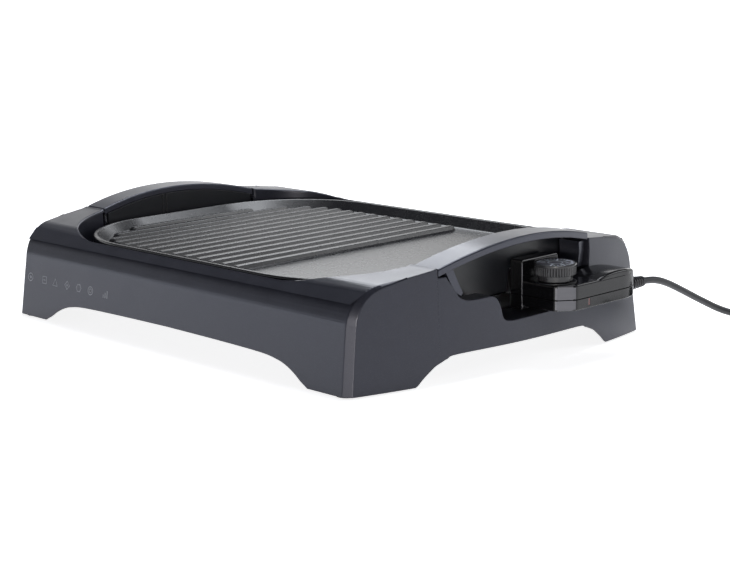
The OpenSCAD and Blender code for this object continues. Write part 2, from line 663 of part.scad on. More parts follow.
module shell_screws() color("#8b8e93") leaned() {
  four_bosses(ctrl_h + 1, ctrl_h + 2.9) circle(d = head_d - 0.6, $fn = 32);
  four_bosses(ctrl_h + 2.9, seam_h + 7.8) circle(d = screw_d - 1, $fn = 32);
}

module dial_bezel() color("#1b1c1f") leaned() translate([dial_u, dial_v, deck_h]) difference() {
  cylinder(h = bezel_t, d = dial_d, $fn = round_fn);
  translate([0, 0, -1]) cylinder(h = 4, d = collar_d - 12, $fn = round_fn);
}

module dial_knob() color("#15161a") leaned() translate([dial_u, dial_v, 0]) difference() {
  union() {
    translate([0, 0, dial_top - dial_skirt]) cylinder(h = dial_skirt, d = dial_d - 1, $fn = round_fn);
    translate([0, 0, dial_top - 2]) cylinder(h = 2, d = dial_d, $fn = round_fn);
    translate([0, 0, deck_h + bezel_t + seat]) cylinder(h = 8, d = collar_d, $fn = round_fn);
  }
  for (i = [0:dial_flutes - 1]) rotate(i * 360 / dial_flutes) translate([dial_d / 2, 0, dial_top - dial_skirt - 1])
    cylinder(h = dial_skirt - 1.4, d = 2, $fn = 16);
  translate([0, 0, dial_top - 0.6]) cylinder(h = 2, d = dial_d - 3, $fn = round_fn);
  translate([0, 0, deck_h]) cylinder(h = dial_top - deck_h - 3, d = 6, $fn = 48);
}

module dial_inlay() color("#a8abb6") leaned() translate([dial_u, dial_v, dial_top - 0.6])
  cylinder(h = 0.5, d = dial_d - 3, $fn = round_fn);

module dial_spindle() color("#b4b6b9") leaned() translate([dial_u, dial_v, ctrl_h + 15])
  cylinder(h = dial_top - 3 - ctrl_h - 15, d = 6, $fn = 48);

module strain_relief() color("#141517") placed() translate(relief_at) rotate([-90, 0, 0]) {
  cylinder(h = 10, d = 10.4, $fn = 32);
  cylinder(h = relief_l, d = cord_d + 2, $fn = 32);
  for (i = [0:4]) translate([0, 0, 10.4 + i * 3.5]) cylinder(h = 2.2, d = cord_d + 5.4 - 0.5 * i, $fn = 32);
}

// Tube swept along points: each ring is square to the route, the two end rings square to given headings
function unit(v) = v / norm(v);
function heading(p, i, a, b) = i == 0 ? a : i == len(p) - 1 ? b : unit(p[i + 1] - p[i - 1]);
function ring(c, t, r, sides) = let (s = unit(cross(t, [0, 0, 1])), u = cross(s, t))
  [for (k = [0:sides - 1]) c + r * (cos(360 * (k + 0.5) / sides) * s + sin(360 * (k + 0.5) / sides) * u)];

module tube(p, r, sides, a, b) {
  n = len(p);
  polyhedron(
    points = [for (i = [0:n - 1]) each ring(p[i], heading(p, i, a, b), r, sides)],
    faces = concat(
      [[for (k = [sides - 1:-1:0]) k]],
      [for (i = [0:n - 2], k = [0:sides - 1])
        [i * sides + k, i * sides + (k + 1) % sides, (i + 1) * sides + k]],
      [for (i = [0:n - 2], k = [0:sides - 1])
        [i * sides + (k + 1) % sides, (i + 1) * sides + (k + 1) % sides, (i + 1) * sides + k]],
      [[for (k = [0:sides - 1]) (n - 1) * sides + k]]));
}

// Coil: spirals in on the table, climbs a layer in the half turn where it reverses, and spirals out on top
turns = 2 * coil_turns;
function coil_rise(s) = min(1, max(0, (s - coil_turns + 0.25) / 0.5));
function coil_point(s) = let (r = coil_r - coil_pitch * min(s, turns - s))
  [coil_x + r * cos(180 - 360 * s), coil_y + r * sin(180 - 360 * s), coil_z + coil_pitch * coil_rise(s)];
coil_path = concat([lead_end], [for (i = [0:coil_steps * turns]) coil_point(i / coil_steps)], [tail_start]);
coil_gap = min([for (i = [0:len(coil_path) - 1], j = [i + 12:1:len(coil_path) - 1])
  norm(coil_path[i] - coil_path[j])]) - cord_d;
echo(least_gap_between_loops = coil_gap);

module cord_lead() color("#303136") placed()
  tube(concat(lead_points, [lead_end]), cord_d / 2, cord_sides, [0, 1, 0], [0, 1, 0]);

module cord_coil() color("#303136") placed() tube(coil_path, cord_d / 2, coil_sides, [0, 1, 0], [0, -1, 0]);

module cord_tail() color("#303136") placed() tube(concat([tail_start], tail_points, [plug_at]), cord_d / 2, cord_sides,
  [0, -1, 0], [-sin(plug_turn), -cos(plug_turn), 0]);

module cord_tie() color("#1c1d1f") placed() translate([coil_x, coil_y, 0]) {
  low = coil_z - cord_d / 2 - 1.3;
  high = coil_z + coil_pitch + cord_d / 2 + 1.3;
  inner = coil_r - coil_turns * coil_pitch - cord_d / 2 - 2;
  outer = coil_r + cord_d / 2 + 2;
  rotate([90, 0, 90]) linear_extrude(9, center = true) difference() {
    translate([inner, low]) square([outer - inner, high - low]);
    translate([inner + 1, low + 1]) square([outer - inner - 2, high - low - 2]);
  }
}

module plug_frame() placed() translate(plug_at) rotate(180 - plug_turn) rotate([-90, 0, 0]) children();

module plug_body() color("#1a1b1d") plug_frame() {
  linear_extrude(plug_l) rounded_box2d(13, 7, 6);
  translate([0, 0, plug_l]) linear_extrude(2) rounded_box2d(17, 7.6, 6);
}

module plug_pins() color("#c8cacd") plug_frame() for (s = [-1, 1]) translate([s * 9.5, 0, plug_l + 2])
  cylinder(h = 19, d = 4, $fn = 32);

base_shell();
reflector_pan();
reflector_screws();
rubber_feet();
drip_tray();
cooking_plate();
heating_element();
terminal_pins();
pin_collars();
terminal_guard();
probe_sleeve();
handle_grip_left();
handle_grip_right();
handle_wall_left();
handle_wall_right();
handle_brackets();
handle_screws();
controller_lower_shell();
controller_upper_shell();
contact_block();
contact_sockets();
temperature_probe();
thermostat_frame();
thermostat_blades();
pilot_lamp();
shell_screws();
dial_bezel();
dial_knob();
dial_inlay();
dial_spindle();
strain_relief();
cord_lead();
cord_coil();
cord_tail();
cord_tie();
plug_body();
plug_pins();
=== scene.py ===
import math

import bmesh
import bpy
from mathutils import Euler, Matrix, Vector


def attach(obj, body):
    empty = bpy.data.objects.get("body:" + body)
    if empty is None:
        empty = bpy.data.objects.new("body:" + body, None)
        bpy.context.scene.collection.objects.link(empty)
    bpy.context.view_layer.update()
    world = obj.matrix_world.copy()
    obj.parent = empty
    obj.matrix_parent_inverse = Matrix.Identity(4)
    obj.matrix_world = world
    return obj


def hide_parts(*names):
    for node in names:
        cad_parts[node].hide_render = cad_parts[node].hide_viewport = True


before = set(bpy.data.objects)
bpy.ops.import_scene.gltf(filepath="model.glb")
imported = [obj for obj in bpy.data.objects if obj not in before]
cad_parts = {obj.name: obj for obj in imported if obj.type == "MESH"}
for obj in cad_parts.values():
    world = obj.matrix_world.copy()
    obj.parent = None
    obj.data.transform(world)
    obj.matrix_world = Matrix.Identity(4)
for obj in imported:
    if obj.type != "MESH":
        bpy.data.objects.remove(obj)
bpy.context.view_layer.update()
scene = bpy.context.scene
scene.view_settings.view_transform = "Standard"
print("frame loaded")

# The body leans a little: pieces are drawn square to it in millimetres, then turned and moved onto the frame
leanAngle = math.radians(1.24)
shift = {"x": 15.327, "y": 0.541}


def bodyPoint(u, v, w):
    return Vector((u - shift["x"],
                   v * math.cos(leanAngle) - w * math.sin(leanAngle) - shift["y"],
                   v * math.sin(leanAngle) + w * math.cos(leanAngle))) / 1000


def tablePoint(x, y, z):
    return Vector((x - shift["x"], y - shift["y"], z)) / 1000


# Camera
cameraPlan = {"position": (1.19377, -1.10604, 0.3499), "pitch": 90 - 11.05, "heading": 46.0,
              "lens": 85.5, "shiftX": -0.0038, "shiftY": -0.0004}
cameraData = bpy.data.cameras.new("photoCamera")
cameraData.sensor_width = 36
cameraData.lens = cameraPlan["lens"]
cameraData.shift_x = cameraPlan["shiftX"]
cameraData.shift_y = cameraPlan["shiftY"]
cameraData.clip_end = 20
photoCamera = bpy.data.objects.new("photoCamera", cameraData)
photoCamera.location = cameraPlan["position"]
photoCamera.rotation_euler = Euler((math.radians(cameraPlan["pitch"]), 0, math.radians(cameraPlan["heading"])))
scene.collection.objects.link(photoCamera)
scene.camera = photoCamera


# Materials
def surface(name, color, rough=0.4, metal=0.0, coat=0.0, coatRough=0.1, specular=0.5,
            grain=900, grainBump=0.0, wave=40, waveRough=0.04, waveColor=0.06, flake=0.0, flakeScale=4000, along=None):
    made = bpy.data.materials.new(name)
    made.use_nodes = True
    tree = made.node_tree
    shader = tree.nodes["Principled BSDF"]
    shader.inputs["Metallic"].default_value = metal
    shader.inputs["Coat Weight"].default_value = coat
    shader.inputs["Coat Roughness"].default_value = coatRough
    shader.inputs["Specular IOR Level"].default_value = specular

    place = tree.nodes.new("ShaderNodeTexCoord")
    stretch = tree.nodes.new("ShaderNodeMapping")
    stretch.inputs["Scale"].default_value = along or (1, 1, 1)
    tree.links.new(place.outputs["Object"], stretch.inputs["Vector"])

    def noise(scale, detail):
        node = tree.nodes.new("ShaderNodeTexNoise")
        node.inputs["Scale"].default_value = scale
        node.inputs["Detail"].default_value = detail
        tree.links.new(stretch.outputs["Vector"], node.inputs["Vector"])
        return node.outputs["Fac"]

    def remap(source, low, high):
        node = tree.nodes.new("ShaderNodeMapRange")
        node.inputs["From Min"].default_value = 0.3
        node.inputs["From Max"].default_value = 0.7
        node.inputs["To Min"].default_value = low
        node.inputs["To Max"].default_value = high
        tree.links.new(source, node.inputs["Value"])
        return node.outputs["Result"]

    cloud = noise(wave, 4)
    tree.links.new(remap(cloud, rough - waveRough, rough + waveRough), shader.inputs["Roughness"])
    tint = tree.nodes.new("ShaderNodeMix")
    tint.data_type = "RGBA"
    tint.inputs[6].default_value = (*[c * (1 - waveColor) for c in color], 1)
    tint.inputs[7].default_value = (*[min(1, c * (1 + waveColor)) for c in color], 1)
    tree.links.new(remap(cloud, 0, 1), tint.inputs[0])
    shade = tint.outputs[2]
    if flake:
        spark = tree.nodes.new("ShaderNodeTexVoronoi")
        spark.inputs["Scale"].default_value = flakeScale
        tree.links.new(stretch.outputs["Vector"], spark.inputs["Vector"])
        glint = tree.nodes.new("ShaderNodeMix")
        glint.data_type = "RGBA"
        glint.blend_type = "ADD"
        glint.inputs[7].default_value = (flake, flake, flake * 1.1, 1)
        pick = tree.nodes.new("ShaderNodeMapRange")
        pick.inputs["From Min"].default_value = 0.75
        pick.inputs["From Max"].default_value = 1.0
        tree.links.new(spark.outputs["Color"], pick.inputs["Value"])
        tree.links.new(pick.outputs["Result"], glint.inputs[0])
        tree.links.new(shade, glint.inputs[6])
        shade = glint.outputs[2]
    tree.links.new(shade, shader.inputs["Base Color"])
    if grainBump:
        bump = tree.nodes.new("ShaderNodeBump")
        bump.inputs["Strength"].default_value = 1
        bump.inputs["Distance"].default_value = grainBump
        tree.links.new(noise(grain, 3), bump.inputs["Height"])
        tree.links.new(bump.outputs["Normal"], shader.inputs["Normal"])
    return made


anthracitePaint = surface("anthracitePaint", (0.036, 0.038, 0.052), rough=0.33, metal=0.35, coat=0.2, coatRough=0.24,
                          specular=0.3, grain=2600, grainBump=0.000012, flake=0.03)
handlePaint = surface("handlePaint", (0.045, 0.048, 0.066), rough=0.31, metal=0.4, coat=0.3, coatRough=0.22,
                      specular=0.35, grain=2600, grainBump=0.00001, flake=0.03)
nonstick = surface("nonstick", (0.009, 0.009, 0.0105), rough=0.27, specular=0.75, grain=1500, grainBump=0.000004,
                   wave=60, waveRough=0.015, flake=0.005, flakeScale=2500)
satinBlack = surface("satinBlack", (0.008, 0.009, 0.012), rough=0.35, grain=1500, grainBump=0.00001)
glossBlack = surface("glossBlack", (0.006, 0.006, 0.007), rough=0.14, coat=0.15, coatRough=0.05, waveRough=0.02,
                     specular=0.3, grain=600, grainBump=0.000004)
# Lighter brushed metal for faces turned to the camera-side light: a painted highlight
paintedHighlightMetal = surface("paintedHighlightMetal", (0.12, 0.12, 0.13), rough=0.38, metal=0.9, grain=700, grainBump=0.00001,
                       along=(1, 1, 12))
knobBlack = surface("knobBlack", (0.035, 0.035, 0.038), rough=0.25, grain=1500, grainBump=0.00001)
printedFace = surface("printedFace", (0.05, 0.052, 0.06), rough=0.35, metal=0.3, grain=1500, grainBump=0.000008)
printWhite = surface("printWhite", (0.80, 0.85, 1.0), rough=0.5, grain=2000, grainBump=0.000005)
motifGray = surface("motifGray", (0.32, 0.33, 0.36), rough=0.5, grain=2000, grainBump=0.000005)
cordRubber = surface("cordRubber", (0.018, 0.019, 0.022), rough=0.42, grain=1200, grainBump=0.00002)
footRubber = surface("footRubber", (0.012, 0.012, 0.012), rough=0.75, grain=1200, grainBump=0.00004)
bareSheet = surface("bareSheet", (0.55, 0.56, 0.58), rough=0.32, metal=1.0, grain=500, grainBump=0.00002,
                    along=(8, 1, 1), waveColor=0.1)
brightSteel = surface("brightSteel", (0.52, 0.53, 0.55), rough=0.28, metal=1.0, grain=900, grainBump=0.00001)
trayEnamel = surface("trayEnamel", (0.035, 0.036, 0.04), rough=0.25, coat=0.4, grain=500, grainBump=0.00001,
                     flake=0.05, flakeScale=700)
elementSkin = surface("elementSkin", (0.09, 0.085, 0.08), rough=0.55, metal=0.6, grain=900, grainBump=0.00003,
                      waveColor=0.25)
ceramicWhite = surface("ceramicWhite", (0.62, 0.6, 0.55), rough=0.45, grain=900, grainBump=0.00001)
bracketBlack = surface("bracketBlack", (0.014, 0.014, 0.015), rough=0.5, grain=900, grainBump=0.00002)
contactBrass = surface("contactBrass", (0.62, 0.42, 0.14), rough=0.3, metal=1.0, grain=900, grainBump=0.00001)
insulatorBrown = surface("insulatorBrown", (0.16, 0.14, 0.11), rough=0.6, grain=900, grainBump=0.00002)
lampLens = surface("lampLens", (0.10, 0.008, 0.006), rough=0.2, coat=0.5, grain=900, grainBump=0.000004)


def paint(piece, finish):
    piece.data.materials.clear()
    piece.data.materials.append(finish)


# Small tools for shaping
def meshFrom(name, points, faces):
    data = bpy.data.meshes.new(name)
    data.from_pydata([tuple(p) for p in points], [], [tuple(f) for f in faces])
    piece = bpy.data.objects.new(name, data)
    scene.collection.objects.link(piece)
    work = bmesh.new()
    work.from_mesh(data)
    bmesh.ops.recalc_face_normals(work, faces=work.faces)
    work.to_mesh(data)
    work.free()
    return piece


# Rings with as many points each become one closed skin with flat ends, or a closed loop of rings
def loft(name, rings, looped=False):
    count = len(rings[0])
    points = [p for ring in rings for p in ring]
    faces = []
    for r in range(len(rings) if looped else len(rings) - 1):
        a, b = r * count, ((r + 1) % len(rings)) * count
        faces += [(a + k, a + (k + 1) % count, b + (k + 1) % count, b + k) for k in range(count)]
    if not looped:
        faces += [range(count - 1, -1, -1), range((len(rings) - 1) * count, len(rings) * count)]
    return meshFrom(name, points, faces)


def prism(name, outline, low, high, axis="w"):
    place = {"u": lambda a, b, t: (t, a, b), "v": lambda a, b, t: (a, t, b), "w": lambda a, b, t: (a, b, t)}[axis]
    return loft(name, [[place(a, b, t) for a, b in outline] for t in (low, high)])


def box(name, low, high):
    return prism(name, [(low[0], low[1]), (high[0], low[1]), (high[0], high[1]), (low[0], high[1])], low[2], high[2])


def arc(cx, cy, r, start, end, steps):
    return [(cx + r * math.cos(math.radians(start + (end - start) * i / steps)),
             cy + r * math.sin(math.radians(start + (end - start) * i / steps))) for i in range(steps + 1)]


def disc(cx, cy, r, steps=48):
    return arc(cx, cy, r, 0, 360 * (1 - 1 / steps), steps - 1)


def bake(piece):
    evaluated = piece.evaluated_get(bpy.context.evaluated_depsgraph_get())
    fresh = bpy.data.meshes.new_from_object(evaluated)
    piece.modifiers.clear()
    piece.data = fresh


def carve(piece, cutter, how="DIFFERENCE"):
    step = piece.modifiers.new("carve", "BOOLEAN")
    step.operation = how
    step.solver = "EXACT"
    step.object = cutter
    bake(piece)
    bpy.data.objects.remove(cutter)


def joinInto(piece, others):
    work = bmesh.new()
    for o in [piece] + others:
        work.from_mesh(o.data)
    work.to_mesh(piece.data)
    work.free()
    for o in others:
        bpy.data.objects.remove(o)


# Rounds the edges sharper than an angle, or only those for which where(middle) holds
def roundEdges(piece, width, segments=2, angle=28, where=None):
    work = bmesh.new()
    work.from_mesh(piece.data)
    bmesh.ops.remove_doubles(work, verts=work.verts, dist=0.004)
    bmesh.ops.dissolve_degenerate(work, edges=work.edges, dist=0.004)
    chosen = []
    for edge in work.edges:
        if len(edge.link_faces) == 2 and math.degrees(edge.calc_face_angle(0)) > angle:
            middle = (edge.verts[0].co + edge.verts[1].co) / 2
            if where is None or where(middle):
                chosen.append(edge)
    bmesh.ops.bevel(work, geom=chosen, offset=width, offset_type="OFFSET", segments=segments, profile=0.5,
                    affect="EDGES", clamp_overlap=False)
    work.to_mesh(piece.data)
    work.free()


def smooth(piece, angle=30, weighted=True):
    piece.data.shade_smooth()
    piece.data.set_sharp_from_angle(angle=math.radians(angle))
    if weighted:
        even = piece.modifiers.new("evenNormals", "WEIGHTED_NORMAL")
        even.keep_sharp = True
        even.weight = 80
        bake(piece)


def settle(piece, leaned=True):
    turn = bodyPoint if leaned else tablePoint
    for vertex in piece.data.vertices:
        vertex.co = turn(*vertex.co)
    piece.data.update()


def finishPiece(piece, finish, body, nodes, leaned=True, angle=30, weighted=True):
    paint(piece, finish)
    smooth(piece, angle, weighted)
    settle(piece, leaned)
    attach(piece, body)
    if nodes:
        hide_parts(*nodes)
    return piece


# Points of a polyline rounded off by a smooth curve through them
def flowing(points, steps=5):
    out = []
    for i in range(len(points) - 1):
        a, b = points[i], points[i + 1]
        before = points[i - 1] if i else (2 * a[0] - b[0], 2 * a[1] - b[1])
        after = points[i + 2] if i + 2 < len(points) else (2 * b[0] - a[0], 2 * b[1] - a[1])
        for s in range(steps):
            t = s / steps
            out.append(tuple(0.5 * (2 * a[k] + (b[k] - before[k]) * t
                                    + (2 * before[k] - 5 * a[k] + 4 * b[k] - after[k]) * t * t
                                    + (3 * a[k] - before[k] - 3 * b[k] + after[k]) * t ** 3) for k in (0, 1)))
    return out + [tuple(points[-1])]


# Free cord: slopes from the strain relief to the table, where the rest lies coiled
cordPlan = {"diameter": 6.5, "coil": (328, 330), "radius": 46, "pitch": 7.4, "low": 4.65, "turns": 5.5, "steps": 24,
            "length": 1.5}
cordLead = [(272, 146, 58.5), (272, 155, 58.1), (272, 168, 56.2), (272, 184, 51.2), (272, 200, 44.6),
            (272, 222, 34.8), (272, 244, 25.2), (273, 264, 16.6), (276, 284, 9.6), (279, 300, 6.0),
            (281, 312, 5.0), (282, 323.5, 4.65)]
cordTail = [(374, 323.5, 12.05), (374, 306, 11.2), (376, 292, 9.4), (380, 278, 8.2), (384, 266, 7.8), (386, 258, 7.8)]


def coilPoint(s):
    r = cordPlan["radius"] - cordPlan["pitch"] * min(s, cordPlan["turns"] - s)
    turn = math.radians(180 - 360 * s)
    rise = min(1, max(0, (s - 2.5) / 0.5))
    return (cordPlan["coil"][0] + r * math.cos(turn), cordPlan["coil"][1] + r * math.sin(turn),
            cordPlan["low"] + cordPlan["pitch"] * rise)


coilSteps = int(cordPlan["steps"] * cordPlan["turns"])
cordRoute = cordLead + [coilPoint(i / cordPlan["steps"]) for i in range(coilSteps + 1)] + cordTail
cordCurve = bpy.data.curves.new("mainsCord", "CURVE")
cordCurve.dimensions = "3D"
cordCurve.bevel_depth = cordPlan["diameter"] / 2000
cordCurve.bevel_resolution = 4
cordCurve.resolution_u = 4
cordCurve.use_fill_caps = True
cordLine = cordCurve.splines.new("BEZIER")
cordLine.bezier_points.add(len(cordRoute) - 1)
for knot, spot in zip(cordLine.bezier_points, cordRoute):
    knot.co = tablePoint(*spot)
    knot.handle_left_type = knot.handle_right_type = "AUTO"
mainsCord = bpy.data.objects.new("mainsCord", cordCurve)
scene.collection.objects.link(mainsCord)
mainsCord.data.materials.append(cordRubber)
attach(mainsCord, "controller")
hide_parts("cord_lead", "cord_coil", "cord_tail")
print("cord laid")


# Plug and tie at the coil
def roundedBox(hx, hy, r, steps=6):
    out = []
    for sx, sy, start in ((1, 1, 0), (-1, 1, 90), (-1, -1, 180), (1, -1, 270)):
        out += arc(sx * (hx - r), sy * (hy - r), r, start, start + 90, steps)
    return out


plug = {"start": (386, 258, 7.8), "turn": 194}
plugTurn = math.radians(plug["turn"])


def plugPlace(a, b, t):
    x, y, z = plug["start"]
    return (x + a * math.cos(plugTurn) - t * math.sin(plugTurn),
            y + a * math.sin(plugTurn) + t * math.cos(plugTurn), z - b)


plugSections = [(0, 5.0, 4.6, 4.4), (1.2, 6.2, 5.6, 5.4), (8, 8.5, 6.2, 5.8), (18, 12.4, 6.8, 6), (34, 13, 7, 6),
                (37.6, 13, 7, 6), (38, 17, 7.6, 6), (39.6, 17, 7.6, 6), (40, 16.6, 7.2, 5.6)]
plugBody = loft("plugBody", [[plugPlace(a, b, t) for a, b in roundedBox(hx, hy, r)] for t, hx, hy, r in plugSections])
finishPiece(plugBody, cordRubber, "controller", ["plug_body"], leaned=False)
pinSections = [(40, 2), (57.5, 2), (58.6, 1.5), (59, 0.8)]
plugPins = None
for side in (-9.5, 9.5):
    one = loft("plugPins", [[plugPlace(side + a, b, t) for a, b in disc(0, 0, r, 20)] for t, r in pinSections])
    if plugPins:
        joinInto(plugPins, [one])
    else:
        plugPins = one
finishPiece(plugPins, brightSteel, "controller", ["plug_pins"], leaned=False)

tieLow, tieHigh, tieIn, tieOut = 0.1, 16.6, 20.4, 51.25
cordTie = loft("cordTie", [[(328 + x, 330 + a, b) for a, b in
                            [(p + (tieIn + tieOut) / 2, q + (tieLow + tieHigh) / 2) for p, q in
                             roundedBox((tieOut - tieIn) / 2 - inset, (tieHigh - tieLow) / 2 - inset, 5 - inset)]]
                           for x, inset in ((-4.5, 0), (4.5, 0), (4.5, 1), (-4.5, 1))], looped=True)
finishPiece(cordTie, satinBlack, "controller", ["cord_tie"], leaned=False)

# Base shell
base = {"length": 472, "depth": 380, "bow": 23.4, "top": 98.3, "crest": 112, "domeEdge": 100,
        "frontDraft": math.radians(7.5), "endDraft": math.radians(3.8), "slope": math.radians(6.1),
        "bend": 36, "bendFrom": 7.5, "bendTo": 83.9, "wall": 2.5, "foot": 1.5, "floor": 29, "pan": 31.5,
        "leg": (223, 177), "post": (178, 114)}
endRadius = ((base["depth"] / 2) ** 2 + base["bow"] ** 2) / (2 * base["bow"])
endCentre = base["length"] / 2 + base["bow"] - endRadius
domeRadius = (base["domeEdge"] ** 2 + (base["crest"] - base["top"]) ** 2) / (2 * (base["crest"] - base["top"]))
domeCentre = base["crest"] - domeRadius
bendA = base["depth"] / 2 - base["bend"] / math.cos(base["frontDraft"])
bendB = base["top"] + base["domeEdge"] * math.tan(base["slope"]) - base["bend"] / math.cos(base["slope"])
bendV = (bendA - math.tan(base["frontDraft"]) * bendB) / (1 - math.tan(base["frontDraft"]) * math.tan(base["slope"]))
bendW = bendB - math.tan(base["slope"]) * bendV
endTop = math.tan(base["endDraft"]) * (base["top"] - base["wall"])
opening = {"half": 166.8, "inset": 31, "corner": 86}
wallRadius = endRadius - endTop - opening["inset"]
cornerV = opening["half"] - opening["corner"]
cornerU = endCentre + math.sqrt((wallRadius - opening["corner"]) ** 2 - cornerV ** 2)


def baseProfile(inset):
    r = base["bend"] - inset
    low = -8 - (1 if inset else 0)
    half = [(base["depth"] / 2 - math.tan(base["frontDraft"]) * low - inset / math.cos(base["frontDraft"]), low)]
    half += arc(bendV, bendW, r, base["bendFrom"], base["bendTo"], 18)
    edge = math.degrees(math.acos((base["domeEdge"] - inset * 0.2) / (domeRadius - inset)))
    half += arc(0, domeCentre, domeRadius - inset, edge, 90, 24)
    return half + [(-v, w) for v, w in half[-2::-1]]


def endOutline(inset, w):
    out = []
    for i in range(97):
        v = -216 + 4.5 * i
        out.append((endCentre + math.sqrt((endRadius - inset) ** 2 - v * v) - math.tan(base["endDraft"]) * w, v))
    return out + [(-u, -v) for u, v in out]


def shellBlock(name, inset):
    block = prism(name, baseProfile(inset), -310, 310, "u")
    lens = loft("lens", [[(u, v, w) for u, v in endOutline(inset, w)] for w in (-35, 145)])
    carve(block, lens, "INTERSECT")
    return block


def openingOutline(grow=0):
    tilt = math.degrees(math.atan2(cornerV, cornerU - endCentre))
    r = opening["corner"] + grow
    right = arc(cornerU, -cornerV, r, -90, -tilt, 20) + arc(endCentre, 0, wallRadius + grow, -tilt, tilt, 24)[1:-1]
    right += arc(cornerU, cornerV, r, tilt, 90, 20)
    return right + [(-u, -v) for u, v in right]


endCuts = {
    1: [(-95, 130), (-95, 91.3)] + flowing([(-86.5, 91.3), (-77, 78), (-73, 72.5), (-66, 69), (-58, 68)])
       + flowing([(-36, 68), (-30, 64.5), (-26, 57), (-24, 48), (-19, 44.5), (-12, 43.5)])
       + flowing([(84, 43.5), (91, 47), (95, 54), (97.5, 68)]) + [(101, 88), (101, 130)],
    -1: [(-95, 130), (-95, 91.3)] + flowing([(-86.5, 91.3), (-77, 78), (-73, 72.5), (-66, 69), (-58, 68)])
        + flowing([(64, 68), (72, 69), (79, 72.5), (83, 78), (92.5, 91.3)]) + [(101, 89.8), (101, 130)]}


def legs(r, low, high):
    u, v = base["leg"]
    return [prism("leg", disc(u * su, v * sv, r), low, high) for su in (-1, 1) for sv in (-1, 1)]


def endU(v, w):
    return endCentre + math.sqrt(endRadius ** 2 - v * v) - math.tan(base["endDraft"]) * w


def cornerCutter(su, sv, grow=0):
    path = [(base["depth"] / 2 + 8 * math.tan(base["frontDraft"]), -8, base["bendFrom"], 1)]
    sweep = base["bendTo"] - base["bendFrom"]
    for i in range(31):
        a = base["bendFrom"] + sweep * i / 30
        path.append((bendV + base["bend"] * math.cos(math.radians(a)),
                     bendW + base["bend"] * math.sin(math.radians(a)), a, 1 - 0.6 * i / 30))
    path.append((bendV - 24, base["top"] - math.tan(base["slope"]) * (bendV - 24 - base["domeEdge"]), base["bendTo"],
                 -0.05))
    rings = []
    for v, w, a, share in path:
        c, dv, dw = 5.7 * share + grow, math.cos(math.radians(a)), math.sin(math.radians(a))
        e = endU(v, w)
        run = 3 * (1 + endU(v - dv, w - dw) - e)
        ring = [(e - c - run, v + 3 * dv, w + 3 * dw),
                (endU(v - c * dv, w - c * dw) + run, v - (c + 3) * dv, w - (c + 3) * dw),
                (e + 8, v + 8 * dv, w + 8 * dw)]
        rings.append([(su * p, sv * q, s) for p, q, s in ring])
    return loft("cornerCutter", rings)


def fromTable(x, y, z):
    return (x, y * math.cos(leanAngle) + z * math.sin(leanAngle), -y * math.sin(leanAngle) + z * math.cos(leanAngle))


def archCutter(half, shoulder, side):
    rise = flowing([(half - d, h) for d, h in shoulder] + [(0, 23.4)], 4)
    outline = [(half, -12)] + rise + [(-a, b) for a, b in rise[-2::-1]] + [(-half, -12)]
    if side in ("front", "back"):
        y = -190 if side == "front" else 190
        return loft("arch", [[fromTable(a, y + t, b) for a, b in outline] for t in (-17, 17)])
    x = 240 if side == "right" else -240
    return loft("arch", [[fromTable(x + t, a, b) for a, b in outline] for t in (-24, 24)])


# The base holds the handles' seats, so their sizes stand here
handle = {"thick": 6.4, "front": -94, "back": 100, "rightBack": 12, "rightUp": 1.7}
shell = shellBlock("baseShell", 0)
hollow = shellBlock("hollow", base["wall"])
carve(hollow, prism("well", openingOutline(base["wall"]), base["floor"], 200))
for post in legs(8.5, -16, 29):
    carve(hollow, post)
for side in (1, -1):
    liner = prism("liner", [(v - base["wall"] if v < 0 else v + base["wall"], w - base["wall"] if w < 120 else w)
                            for v, w in endCuts[side]], min(side * 200, side * 290), max(side * 200, side * 290), "u")
    carve(hollow, liner)
    for sv in (1, -1):
        carve(hollow, cornerCutter(side, sv, base["wall"] * math.sqrt(2)))
carve(shell, hollow)
bowl = prism("bowl", openingOutline(), base["pan"], 200)
postU, postV = base["post"]
for su in (-1, 1):
    for sv in (-1, 1):
        carve(bowl, prism("post", disc(postU * su, postV * sv, 8), 20, 62))
carve(shell, bowl)
for side in (1, -1):
    carve(shell, prism("cut", endCuts[side], min(side * 206, side * 290), max(side * 206, side * 290), "u"))
    middle = side * (endCentre + wallRadius)
    carve(shell, box("seat", (middle - 12, handle["front"], 56), (middle + 12, handle["back"], 150)))
    for sv in (1, -1):
        carve(shell, cornerCutter(side, sv))
ground = loft("ground", [[fromTable(x, y, z) for x, y in ((-400, -300), (400, -300), (400, 300), (-400, 300))]
                         for z in (-60, base["foot"])])
carve(shell, ground)
for face in ("front", "back"):
    carve(shell, archCutter(189, [(0, 0), (0.6, 1.5), (3, 3), (9, 6), (18, 11.5), (29, 16.4), (41, 19.4), (62, 21.6),
                                  (120, 22.8)], face))
for face in ("left", "right"):
    carve(shell, archCutter(128, [(0, 0), (6, 2.5), (12, 7.5), (19, 12.5), (25, 16.3), (32, 19), (38, 21), (51, 23.4)],
                            face))
print("shell carved", len(shell.data.vertices))


# The opening's top edge is rounder than the other edges
def onOpening(middle):
    u, v, w = abs(middle.x), abs(middle.y), middle.z
    if w < base["top"] - 12 or v > opening["half"] + 1.5:
        return False
    if u > cornerU and v > cornerV:
        return abs(math.hypot(u - cornerU, v - cornerV) - opening["corner"]) < 1
    return v > opening["half"] - 1 and u <= cornerU


roundEdges(shell, 2.6, 4, 28, onOpening)
roundEdges(shell, 0.9, 2, 28, lambda middle: not onOpening(middle))
finishPiece(shell, anthracitePaint, "base", ["base_shell"], angle=35)
print("base shell done")

# Small plain signs printed on the front face, each a closed band or patch a hair above the paint
def frontPoint(x, y, at):
    w = 43.5 + y
    return (at + x, -(base["depth"] / 2 - math.tan(base["frontDraft"]) * w) - 0.06, w)


